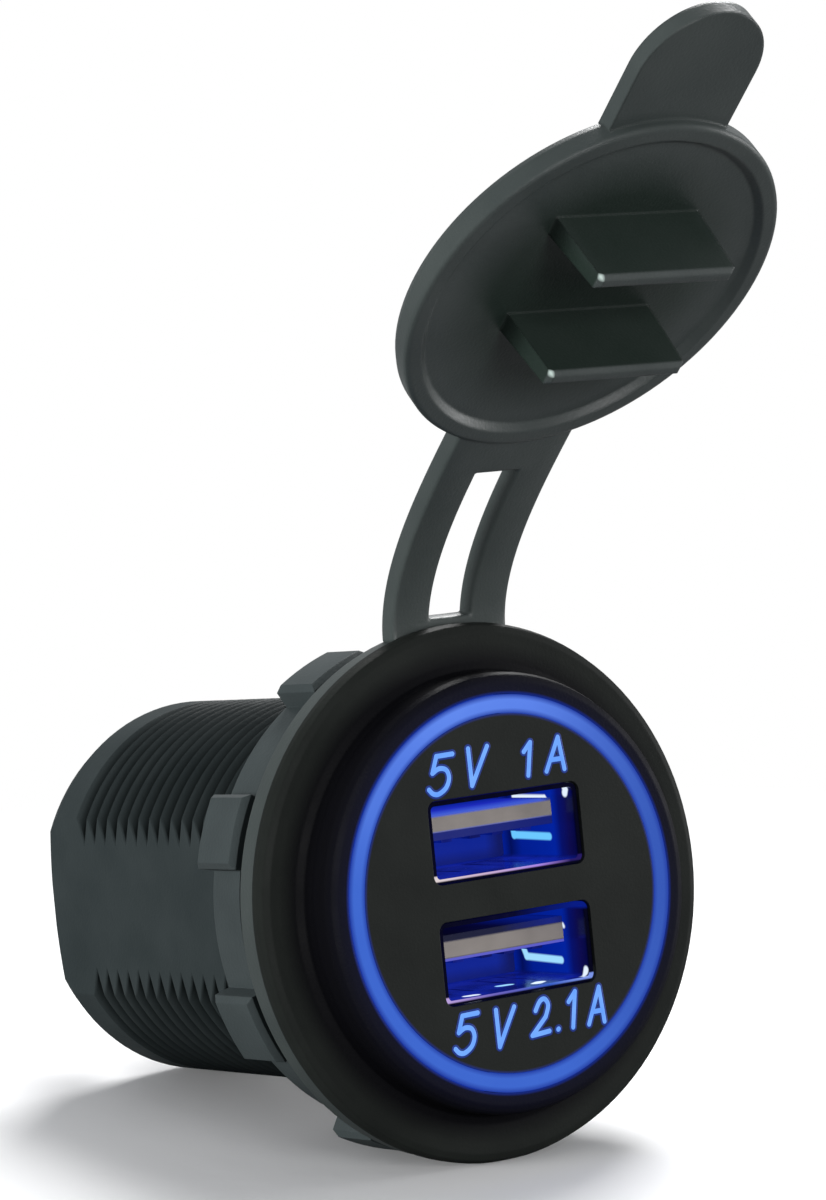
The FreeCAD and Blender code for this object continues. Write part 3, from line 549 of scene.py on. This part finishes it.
def cap_material():
    """The cap's rubber, with painted shade on the inside's middle and the plugs' sides, which leaves the rim
    and the tips lighter, and a painted highlight spot at one corner of each plug."""
    made, shader = rubber("CapRubber")
    turn = add_node(made, "ShaderNodeVectorRotate", rotation_type="X_AXIS")
    for value, name in ((place_on_part(made), "Vector"), (HINGE_LINE, "Center"), (CAP_OPEN, "Angle")):
        connect(made, value, turn.inputs[name])
    shut = turn.outputs["Vector"]
    depth = place_along(made, shut, "Y")
    middle = fall(made, distance_from_axis(made, shut), *CAP_SHADE_RANGE)
    inside = spread(made, depth, *CAP_SHADE_DEPTH_RANGE)
    below_tip = fall(made, depth, *PLUG_TIP_RANGE)
    # Painted shade on the inside's middle and the plugs' sides, stopping short of the plugs' tips
    recolour(made, shader, product(made, product(made, middle, inside), below_tip), CAP_PAINTED_SHADE)
    # A painted highlight spot at one corner of each plug's tip
    painted_highlight = BLACK
    for height in PORT_HEIGHTS.values():
        tips = [corner for corner in PLUG_TIPS if abs(corner.z - height * MM) < PLUG_REACH]
        bright = (min(corner.x for corner in tips), PLUG_TIP_Y, min(corner.z for corner in tips))
        distance = vector_math(made, "DISTANCE", shut, bright).outputs["Value"]
        painted_highlight = over(made, painted_highlight, fall(made, distance, *HIGHLIGHT_SPOT_RANGE), PLUG_PAINTED_HIGHLIGHT)
    glow(made, shader, painted_highlight)
    return made


def ring_material():
    """The translucent ring: brighter along its middle, palest at the top and deepest at the right, with a
    soft drift between its lights."""
    made, shader = new_material("LitRing", roughness=0.35, specular=0.1)
    middle = over(made, GLOW_BLUE, spread(made, along(made, "Z"), *RING_TOP_RANGE), GLOW_TOP)
    middle = over(made, middle, spread(made, along(made, "X"), *RING_RIGHT_RANGE), GLOW_RIGHT)
    place = spread(made, distance_from_axis(made, place_on_part(made)), PLATE_RADIUS, RING_RADIUS)
    off_edges = product(made, spread(made, place, 0.0, RING_EDGE_SHARE),
                        fall(made, place, 1.0 - RING_EDGE_SHARE, 1.0))
    band = over(made, GLOW_EDGE, off_edges, middle)
    uneven = drift(made, GLOW_DRIFT, WHITE, feature=7 * MM)
    connect(made, RING_BASE, shader.inputs["Base Color"])
    glow(made, shader, over(made, band, 1.0, uneven, blend_type="MULTIPLY"))
    grain(made, shader, feature=0.3 * MM, depth=0.006 * MM)
    return made


def letter_material(name, dark, light):
    """Lit lettering with a slight drift in brightness."""
    made, shader = new_material(name, roughness=0.4, specular=0.2)
    connect(made, LETTER_BASE, shader.inputs["Base Color"])
    glow(made, shader, drift(made, dark, light, feature=1.6 * MM, between=STRONG_DRIFT))
    return made


def led_material():
    """The clear resin of the lights under the ring."""
    made, shader = moulded("LightResin", (0.55, 0.62, 0.75), (0.65, 0.72, 0.85), roughness=0.25,
                           grain_depth=0.005 * MM)
    glow(made, shader, LED_BLUE, strength=2.0)
    return made


def inside_band(made, value, low, high, soft):
    """One inside a band of a value and nothing outside it, with soft edges."""
    rise = spread(made, value, low - soft, low + soft)
    return product(made, rise, fall(made, value, high - soft, high + soft))


def inside_box(made, limits, soft=SOFT_EDGE):
    """A mask of a soft box; limits gives (low, high) in millimetres for some of X, Y and Z."""
    mask = None
    for axis, (low, high) in limits.items():
        band = inside_band(made, along(made, axis), low * MM, high * MM, soft)
        mask = band if mask is None else product(made, mask, band)
    return mask


def at_heights(made, port, heights, soft=SOFT_EDGE):
    """A mask of what lies between two heights over a socket's middle, in millimetres."""
    low, high = heights
    return inside_box(made, {"Z": (PORT_HEIGHTS[port] + low, PORT_HEIGHTS[port] + high)}, soft)


def stroke(made, wall, first, last, radius):
    """A mask of a soft stroke with round ends on a wall of a socket, its numbers in millimetres."""
    counted, limits = GLINT_WALLS[wall]
    first, last = Vector(first) * MM, Vector(last) * MM
    way = last - first
    flat = vector_math(made, "MULTIPLY", place_on_part(made), counted)
    start = vector_math(made, "SUBTRACT", flat.outputs["Vector"], first).outputs["Vector"]
    share = vector_math(made, "DOT_PRODUCT", start, way / way.length_squared)
    nearest = vector_math(made, "SCALE", way)
    connect(made, spread(made, share.outputs["Value"], 0.0, 1.0), nearest.inputs["Scale"])
    distance = vector_math(made, "DISTANCE", start, nearest.outputs["Vector"])
    low, high = (radius - GLINT_SOFTNESS) * MM, (radius + GLINT_SOFTNESS) * MM
    near = fall(made, distance.outputs["Value"], low, high)
    return product(made, near, inside_box(made, limits))


def across_socket(made):
    """Where a place lies between the left and the right of a socket."""
    return spread(made, along(made, "X"), *SOCKET_ACROSS)


def shell_material(port):
    """Plated steel with painted blue light from within: a dark front edge, a painted highlight on the lower
    lip and glints on the walls.
    """
    made, shader = new_material("LitShell" + port.capitalize(), roughness=0.2, metallic=1.0)
    vary_colour(made, shader, SHELL_DARK, SHELL_LIGHT, feature=2 * MM)
    vary_gloss(made, shader, low=0.16, high=0.28, feature=0.8 * MM)
    grain(made, shader, feature=0.25 * MM, depth=0.006 * MM)
    front_edge = fall(made, along(made, "Y"), *SHELL_EDGE_RANGE)
    recolour(made, shader, front_edge, SHELL_EDGE)
    blue = ramp(made, spread(made, along(made, "Y"), *SHELL_RANGE), SHELL_DEPTHS)
    floor_light = drift(made, SHELL_FLOOR_DEEP, SHELL_FLOOR_BLUE, feature=3 * MM, between=STRONG_DRIFT)
    blue = over(made, blue, at_heights(made, port, SHELL_FLOOR_HEIGHTS), floor_light)
    blue = over(made, blue, front_edge, SHELL_EDGE_LIGHT)
    # A painted highlight along the lower lip
    lip_highlight = product(made, inside_box(made, {"Y": LIP_DEPTHS}, LIP_SOFT_EDGE),
                     at_heights(made, port, LIP_HEIGHTS, LIP_SOFT_EDGE))
    blue = over(made, blue, lip_highlight, ramp(made, across_socket(made), LIP_PAINTED_HIGHLIGHTS[port]))
    if port in CEILINGS:
        ceiling = ramp(made, across_socket(made), CEILINGS[port])
        blue = over(made, blue, at_heights(made, port, CEILING_HEIGHTS), ceiling)
    for wall, first, last, radius, colour in GLINTS[port]:
        blue = over(made, blue, stroke(made, wall, first, last, radius), colour)
    glow(made, shader, blue)
    return made


def tongue_material(port):
    """The socket's moulding: a warm grey tongue end brightened by painted light, and blue light on what lies
    behind it.
    """
    made, shader = new_material("SocketTongue" + port.capitalize(), specular=0.2)
    vary_colour(made, shader, TONGUE_DARK, TONGUE_LIGHT, feature=4 * MM)
    vary_gloss(made, shader, low=0.45, high=0.6, feature=2 * MM)
    grain(made, shader, feature=0.15 * MM, depth=0.005 * MM, edge_round=0.05 * MM)
    low, high = [(PORT_HEIGHTS[port] + limit) * MM for limit in TONGUE_PLAIN[port]]
    on_tip = fall(made, along(made, "Y"), *TONGUE_END_RANGE)
    plain = product(made, on_tip, inside_band(made, along(made, "Z"), low, high, TONGUE_SOFTNESS))
    lit = ramp(made, spread(made, along(made, "Y"), *TONGUE_RANGE),
               [(0.0, TONGUE_LIGHTS[port]), (0.45, TONGUE_MIDDLE), (1.0, DEEP_BLUE)])
    if port in CEILINGS:
        top = spread(made, along(made, "Z"), high, high + TONGUE_TOP_FADE)
        lit = over(made, lit, top, ramp(made, across_socket(made), CEILINGS[port]))
    wall_foot = at_heights(made, port, WALL_FOOT_HEIGHTS, WALL_FOOT_SOFTNESS)
    lit = over(made, lit, wall_foot, WALL_FOOT_LIGHT)
    wall_side = inside_box(made, {"X": WALL_SIDE}, WALL_SIDE_SOFTNESS)
    lit = over(made, lit, wall_side, WALL_SIDE_LIGHT)
    under_tip = product(made, on_tip, fall(made, along(made, "Z"), low - TONGUE_FOOT_FADE, low))
    lit = over(made, lit, under_tip, TONGUE_FOOT[port])
    # Painted light on the tongue's end, blue light on the rest
    glow(made, shader, over(made, lit, plain, TONGUE_END_PAINTED_LIGHT))
    connect(made, over(made, TONGUE_UNLIT, plain, base_colour(shader)), shader.inputs["Base Color"])
    return made


def contact_material():
    """Gilt contacts that the blue light leaves nearly black."""
    made, shader = new_material("LitContact", roughness=0.3, metallic=1.0)
    vary_colour(made, shader, CONTACT_DARK, CONTACT_LIGHT, feature=1 * MM)
    grain(made, shader, feature=0.12 * MM, depth=0.004 * MM, edge_round=0.05 * MM)
    glow(made, shader, drift(made, CONTACT_DEEP, CONTACT_BLUE, feature=2 * MM, between=STRONG_DRIFT))
    return made


def winding_material():
    """Lacquered copper wire, its turns as fine ridges."""
    made, shader = new_material("CopperWinding", roughness=0.3, metallic=1.0)
    vary_colour(made, shader, WINDING_DARK, WINDING_LIGHT, feature=1 * MM)
    turns = add_node(made, "ShaderNodeTexWave", bands_direction="Z")
    turns.inputs["Scale"].default_value = WAVE_PERIOD / TURN_PITCH
    bump = add_node(made, "ShaderNodeBump")
    bump.inputs["Distance"].default_value = TURN_RELIEF
    connect(made, place_on_part(made), turns.inputs["Vector"])
    connect(made, turns.outputs["Fac"], bump.inputs["Height"])
    connect(made, bump.outputs["Normal"], shader.inputs["Normal"])
    return made


def board_material():
    """Solder mask over copper, with tracks as slightly paler lines."""
    made, shader = new_material("SolderMask", roughness=0.3)
    tracks = add_node(made, "ShaderNodeTexBrick")
    settings = {"Vector": place_on_part(made), "Scale": 1.0 / TRACK_PITCH, "Mortar Size": TRACK_SHARE,
                "Color1": MASK_DARK, "Color2": MASK_LIGHT, "Mortar": TRACK_GREEN}
    for name, value in settings.items():
        connect(made, value, tracks.inputs[name])
    connect(made, tracks.outputs["Color"], shader.inputs["Base Color"])
    vary_gloss(made, shader, low=0.25, high=0.4, feature=2 * MM)
    return made


def make_materials():
    """Every material by the name that this script knows it by."""
    made = {
        "barrel": barrel_material(),
        "rubber": rubber("StrapRubber")[0],
        "cap": cap_material(),
        "face": face_material(),
        "ring": ring_material(),
        "letters": letter_material("LitRating", LETTER_DEEP, LETTER_BLUE),
        "halo": letter_material("RatingHalo", HALO_DEEP, HALO_BLUE),
        "contact": contact_material(),
        "winding": winding_material(),
        "board": board_material(),
        "led": led_material(),
    }
    for port in PORT_HEIGHTS:
        made["shell_" + port] = shell_material(port)
        made["tongue_" + port] = tongue_material(port)
    for name, settings in MOULDINGS.items():
        made[name] = moulded(*settings)[0]
    for name, settings in METALS.items():
        made[name] = metal(*settings)
    return made


NODE_MATERIALS = {
    "barrel": ["housing"],
    "nut": ["ring_nut"],
    "rubber": ["rubber_collar", "cap_strap"],
    "cap": ["dust_cap"],
    "cover": ["rear_cover"],
    "face": ["face_plate"],
    "ring": ["light_ring"],
    "led": ["ring_lights"],
    "board": ["led_board", "port_board", "power_board"],
    "gilt": ["led_link_pins", "board_link_pins"],
    "contact": ["usb_contacts_lower", "usb_contacts_upper"],
    "ferrite": ["inductor_core"],
    "winding": ["inductor_winding"],
    "can": ["input_capacitor", "output_capacitors"],
    "resin": ["converter_chip", "input_diode", "port_chips", "chip_resistors"],
    "tinned": ["positive_terminal", "negative_terminal"],
    "shell_lower": ["usb_shell_lower"],
    "shell_upper": ["usb_shell_upper"],
    "tongue_lower": ["usb_insulator_lower"],
    "tongue_upper": ["usb_insulator_upper"],
}


def dress(thing, made):
    """Give an object one material in place of any that it has."""
    thing.data.materials.clear()
    thing.data.materials.append(made)


def new_object(name, data):
    """An object in the scene for a mesh, a curve, a lamp or a camera."""
    thing = bpy.data.objects.new(name, data)
    bpy.context.scene.collection.objects.link(thing)
    return thing


def settle(thing):
    """Turn an object's modifiers into plain mesh."""
    shown = thing.evaluated_get(bpy.context.evaluated_depsgraph_get())
    thing.data = bpy.data.meshes.new_from_object(shown)
    thing.modifiers.clear()


def turned_open(y, z):
    """Where a point of the closed cap, on the plane of symmetry, goes when the cap stands open."""
    turn = Matrix.Rotation(-CAP_OPEN, 3, "X")
    return HINGE_LINE + turn @ (Vector((0, y, z)) - HINGE_LINE)


def bezier(poles, t):
    """A point on a cubic curve."""
    s = 1 - t
    return poles[0] * s**3 + poles[1] * 3 * s * s * t + poles[2] * 3 * s * t * t + poles[3] * t**3


def make_strap(made):
    """The slotted strap as one smooth ribbon that bends between the collar and the cap."""
    poles = [Vector((0, COLLAR_MIDDLE, COLLAR_RADIUS - STRAP_THICKNESS / 2)),
             Vector((0, COLLAR_MIDDLE, COLLAR_RADIUS + STRAP_ROOT_PULL)),
             turned_open(CAP_MIDDLE_Y, CAP_EDGE_RADIUS + STRAP_CAP_PULL),
             turned_open(CAP_MIDDLE_Y, CAP_EDGE_RADIUS)]
    half, slot = STRAP_WIDTH / 2, STRAP_SLOT_WIDTH / 2
    columns = [-half, -(half + slot) / 2, -slot, 0, slot, (half + slot) / 2, half]
    mesh = bpy.data.meshes.new("StrapMesh")
    ribbon = bmesh.new()
    rows = []
    for row in range(STRAP_ROWS + 1):
        middle = bezier(poles, row / STRAP_ROWS)
        rows.append([ribbon.verts.new(middle + Vector((x, 0, 0))) for x in columns])
    for row in range(STRAP_ROWS):
        in_slot = STRAP_SLOT_FROM <= (row + 0.5) / STRAP_ROWS <= STRAP_SLOT_TO
        for column in range(len(columns) - 1):
            if in_slot and column in STRAP_SLOT_COLUMNS:
                continue
            ribbon.faces.new((rows[row][column], rows[row][column + 1],
                              rows[row + 1][column + 1], rows[row + 1][column]))
    loose = [vertex for vertex in ribbon.verts if not vertex.link_faces]
    bmesh.ops.delete(ribbon, geom=loose, context="VERTS")
    ribbon.to_mesh(mesh)
    ribbon.free()
    strap = new_object("Strap", mesh)
    body = strap.modifiers.new("Body", "SOLIDIFY")
    body.thickness = STRAP_THICKNESS
    body.offset = 0
    soft = strap.modifiers.new("Soft", "BEVEL")
    soft.width = STRAP_EDGE_ROUND
    soft.segments = STRAP_EDGE_STEPS
    soft.limit_method = "ANGLE"
    soft.angle_limit = STRAP_EDGE_ANGLE
    settle(strap)
    strap.data.shade_smooth()
    dress(strap, made)
    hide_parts("cap_strap")
    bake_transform(strap)


# Each glyph's strokes in a box 1 wide and 1 high
GLYPHS = {
    "5": [[(0.98, 1.0), (0.30, 0.99), (0.14, 0.56), (0.42, 0.66), (0.72, 0.60), (0.84, 0.38), (0.72, 0.14),
           (0.42, 0.0), (0.18, 0.02), (0.0, 0.14)]],
    "V": [[(0.0, 1.0), (0.22, 0.0), (1.0, 1.0)]],
    "1": [[(0.0, 0.74), (0.75, 1.0), (0.55, 0.0)]],
    "2": [[(0.18, 0.72), (0.42, 0.96), (0.70, 1.0), (0.90, 0.80), (0.76, 0.50), (0.0, 0.04), (0.98, 0.08)]],
    "A": [[(0.0, 0.0), (0.62, 1.0), (1.0, 0.0)], [(0.28, 0.33), (0.88, 0.33)]],
    ".": [[(0.45, 0.0), (0.55, 0.06)]],
}
# Sharp corners in these glyphs stay sharp; the others are curves
CURVED = {"5": (2, 10), "2": (0, 5)}

# Glyph, place of its lower left corner across and up, width and height
RATINGS = [
    ("5", -6.25, 7.65, 2.05, 2.65), ("V", -2.85, 7.90, 1.65, 2.60), ("1", 2.05, 8.05, 0.75, 2.30),
    ("A", 4.10, 8.15, 1.60, 2.30),
    ("5", -6.15, -10.50, 1.95, 2.60), ("V", -2.65, -10.55, 1.60, 2.60), ("2", 0.60, -10.30, 1.55, 2.50),
    (".", 2.62, -10.10, 0.40, 0.40), ("1", 3.85, -10.15, 0.75, 2.50), ("A", 5.70, -10.15, 1.40, 2.50),
]


def smooth_run(points, first, last):
    """Replace the run of points between two places by a curve through them."""
    run = points[first:last]
    curve = []
    for index in range(len(run) - 1):
        before = run[max(index - 1, 0)]
        here, there = run[index], run[index + 1]
        after = run[min(index + 2, len(run) - 1)]
        for step in range(CURVE_STEPS):
            t = step / CURVE_STEPS
            curve.append(0.5 * ((2 * here) + (there - before) * t
                                + (2 * before - 5 * here + 4 * there - after) * t**2
                                + (3 * here - before - 3 * there + after) * t**3))
    return points[:first] + curve + [run[-1]] + points[last:]


def glyph_strokes(glyph, x, z, width, height):
    """A glyph's strokes on the face plate, in metres."""
    strokes = []
    for line in GLYPHS[glyph]:
        points = [Vector((x + width * across + LETTER_LEAN * height * (up - 0.5), z + height * up)) * MM
                  for across, up in line]
        if glyph in CURVED:
            points = smooth_run(points, *CURVED[glyph])
        strokes.append(points)
    return strokes


def make_ratings(name, radius, relief, made):
    """The lit ratings as round strokes, flattened onto the face plate."""
    curve = bpy.data.curves.new(name + "Curve", "CURVE")
    curve.dimensions = "3D"
    curve.bevel_depth = radius
    curve.bevel_resolution = TUBE_STEPS
    curve.use_fill_caps = True
    mesh = bmesh.new()
    for rating in RATINGS:
        for line in glyph_strokes(*rating):
            for pair in zip(line, line[1:]):
                spline = curve.splines.new("POLY")
                spline.points.add(1)
                for point, place in zip(spline.points, pair):
                    point.co = (place.x, 0, place.y, 1)
            for place in line:
                joint = Matrix.Translation((place.x, 0, place.y))
                bmesh.ops.create_uvsphere(mesh, u_segments=BALL_SEGMENTS, v_segments=BALL_RINGS,
                                          radius=radius, matrix=joint)
    tubes = new_object(name + "Tubes", curve)
    tube_mesh = bpy.data.meshes.new_from_object(tubes.evaluated_get(bpy.context.evaluated_depsgraph_get()))
    mesh.from_mesh(tube_mesh)
    bpy.data.objects.remove(tubes)
    flat = relief / radius
    for vertex in mesh.verts:
        vertex.co.y = FACE_Y + vertex.co.y * flat
    result = bpy.data.meshes.new(name + "Mesh")
    mesh.to_mesh(result)
    mesh.free()
    ratings = new_object(name, result)
    result.shade_smooth()
    dress(ratings, made)
    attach(ratings, "charger")


def floor_material():
    """Pale where the camera sees it, and darker for the light that it throws back on the object."""
    made, shader = new_material("PaleFloor", roughness=0.55, specular=0.3)
    vary_colour(made, shader, FLOOR_DARK, FLOOR_LIGHT, feature=40 * MM)
    seen = add_node(made, "ShaderNodeLightPath").outputs["Is Camera Ray"]
    connect(made, over(made, FLOOR_BOUNCE, seen, base_colour(shader)), shader.inputs["Base Color"])
    grain(made, shader, feature=2 * MM, depth=0.02 * MM)
    fade_to_white(made, shader, seen)
    return made


def fade_to_white(made, shader, seen):
    """Let the floor give way to plain white away from the object."""
    distance = vector_math(made, "LENGTH", place_on_part(made))
    share = spread(made, distance.outputs["Value"], FADE_FROM, FADE_TO)
    white = add_node(made, "ShaderNodeEmission")
    mixed = add_node(made, "ShaderNodeMixShader")
    output = made.node_tree.nodes["Material Output"]
    connect(made, product(made, seen, share), mixed.inputs["Fac"])
    connect(made, shader.outputs["BSDF"], mixed.inputs[1])
    connect(made, white.outputs["Emission"], mixed.inputs[2])
    connect(made, mixed.outputs["Shader"], output.inputs["Surface"])


def make_floor():
    """A pale floor that the flange's rim and the barrel's end both touch."""
    barrel_low = -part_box("rear_cover")[1].z - BARREL_WALL
    slope = (barrel_low + FLANGE_RADIUS) / BARREL_END
    mesh = bpy.data.meshes.new("FloorMesh")
    sheet = bmesh.new()
    bmesh.ops.create_circle(sheet, cap_ends=True, segments=FLOOR_SIDES, radius=FLOOR_RADIUS)
    sheet.to_mesh(mesh)
    sheet.free()
    floor = new_object("Floor", mesh)
    floor.rotation_euler = (math.atan(slope), 0, 0)
    floor.location = (0, 0, -FLANGE_RADIUS + FLANGE_SINK - slope * FLANGE_TOUCH_Y)
    dress(floor, floor_material())


def make_world():
    """Plain soft light all round, seen as white."""
    world = bpy.data.worlds.new("Studio")
    bpy.context.scene.world = world
    world.use_nodes = True
    world.node_tree.nodes.clear()
    path = add_node(world, "ShaderNodeLightPath")
    seen = number_math(world, "MAXIMUM", path.outputs["Is Camera Ray"], path.outputs["Is Transmission Ray"])
    light = add_node(world, "ShaderNodeBackground")
    connect(world, WORLD_COLOUR, light.inputs["Color"])
    connect(world, WORLD_STRENGTH, light.inputs["Strength"])
    white = add_node(world, "ShaderNodeBackground")
    connect(world, WHITE, white.inputs["Color"])
    mixed = add_node(world, "ShaderNodeMixShader")
    output = add_node(world, "ShaderNodeOutputWorld")
    connect(world, seen, mixed.inputs["Fac"])
    connect(world, light.outputs["Background"], mixed.inputs[1])
    connect(world, white.outputs["Background"], mixed.inputs[2])
    connect(world, mixed.outputs["Shader"], output.inputs["Surface"])


def make_lamp(name, place, target, width, power):
    """A soft square lamp that faces a target."""
    lamp = bpy.data.lights.new(name, "AREA")
    lamp.size = width
    lamp.energy = power
    holder = new_object(name, lamp)
    holder.location = place
    holder.rotation_euler = (Vector(target) - Vector(place)).to_track_quat("-Z", "Y").to_euler()
    holder.visible_glossy = name not in LAMPS_WITHOUT_REFLECTION


def make_camera():
    """The photograph's camera: a long lens from the left, level with the sockets, rolled slightly."""
    back = Vector((math.sin(CAMERA_AZIMUTH) * math.cos(CAMERA_ELEVATION),
                   -math.cos(CAMERA_AZIMUTH) * math.cos(CAMERA_ELEVATION), math.sin(CAMERA_ELEVATION)))
    level = (-back).cross(Vector((0, 0, 1))).normalized()
    upright = level.cross(-back)
    right = level * math.cos(CAMERA_ROLL) + upright * math.sin(CAMERA_ROLL)
    up = upright * math.cos(CAMERA_ROLL) - level * math.sin(CAMERA_ROLL)
    camera = bpy.data.cameras.new("Camera")
    camera.lens = FOCAL_PIXELS / PHOTO_LONG_SIDE * SENSOR_LONG_SIDE
    camera.sensor_width = SENSOR_LONG_SIDE
    camera.clip_start = CAMERA_NEAR
    camera.clip_end = CAMERA_FAR
    holder = new_object("Camera", camera)
    holder.matrix_world = Matrix.Translation(CAMERA_PLACE) @ Matrix((right, up, back)).transposed().to_4x4()
    bpy.context.scene.camera = holder
    bpy.context.view_layer.update()


make_camera()
materials = make_materials()
for material_name, node_names in NODE_MATERIALS.items():
    for node_name in node_names:
        dress(NODES[node_name], materials[material_name])
make_strap(materials["rubber"])
make_ratings("RatingHalo", HALO_RADIUS, HALO_RELIEF, materials["halo"])
make_ratings("Ratings", STROKE_RADIUS, LETTER_RELIEF, materials["letters"])
make_floor()
make_world()
for settings in LAMPS:
    make_lamp(*settings)

bpy.context.scene.view_settings.view_transform = "Standard"
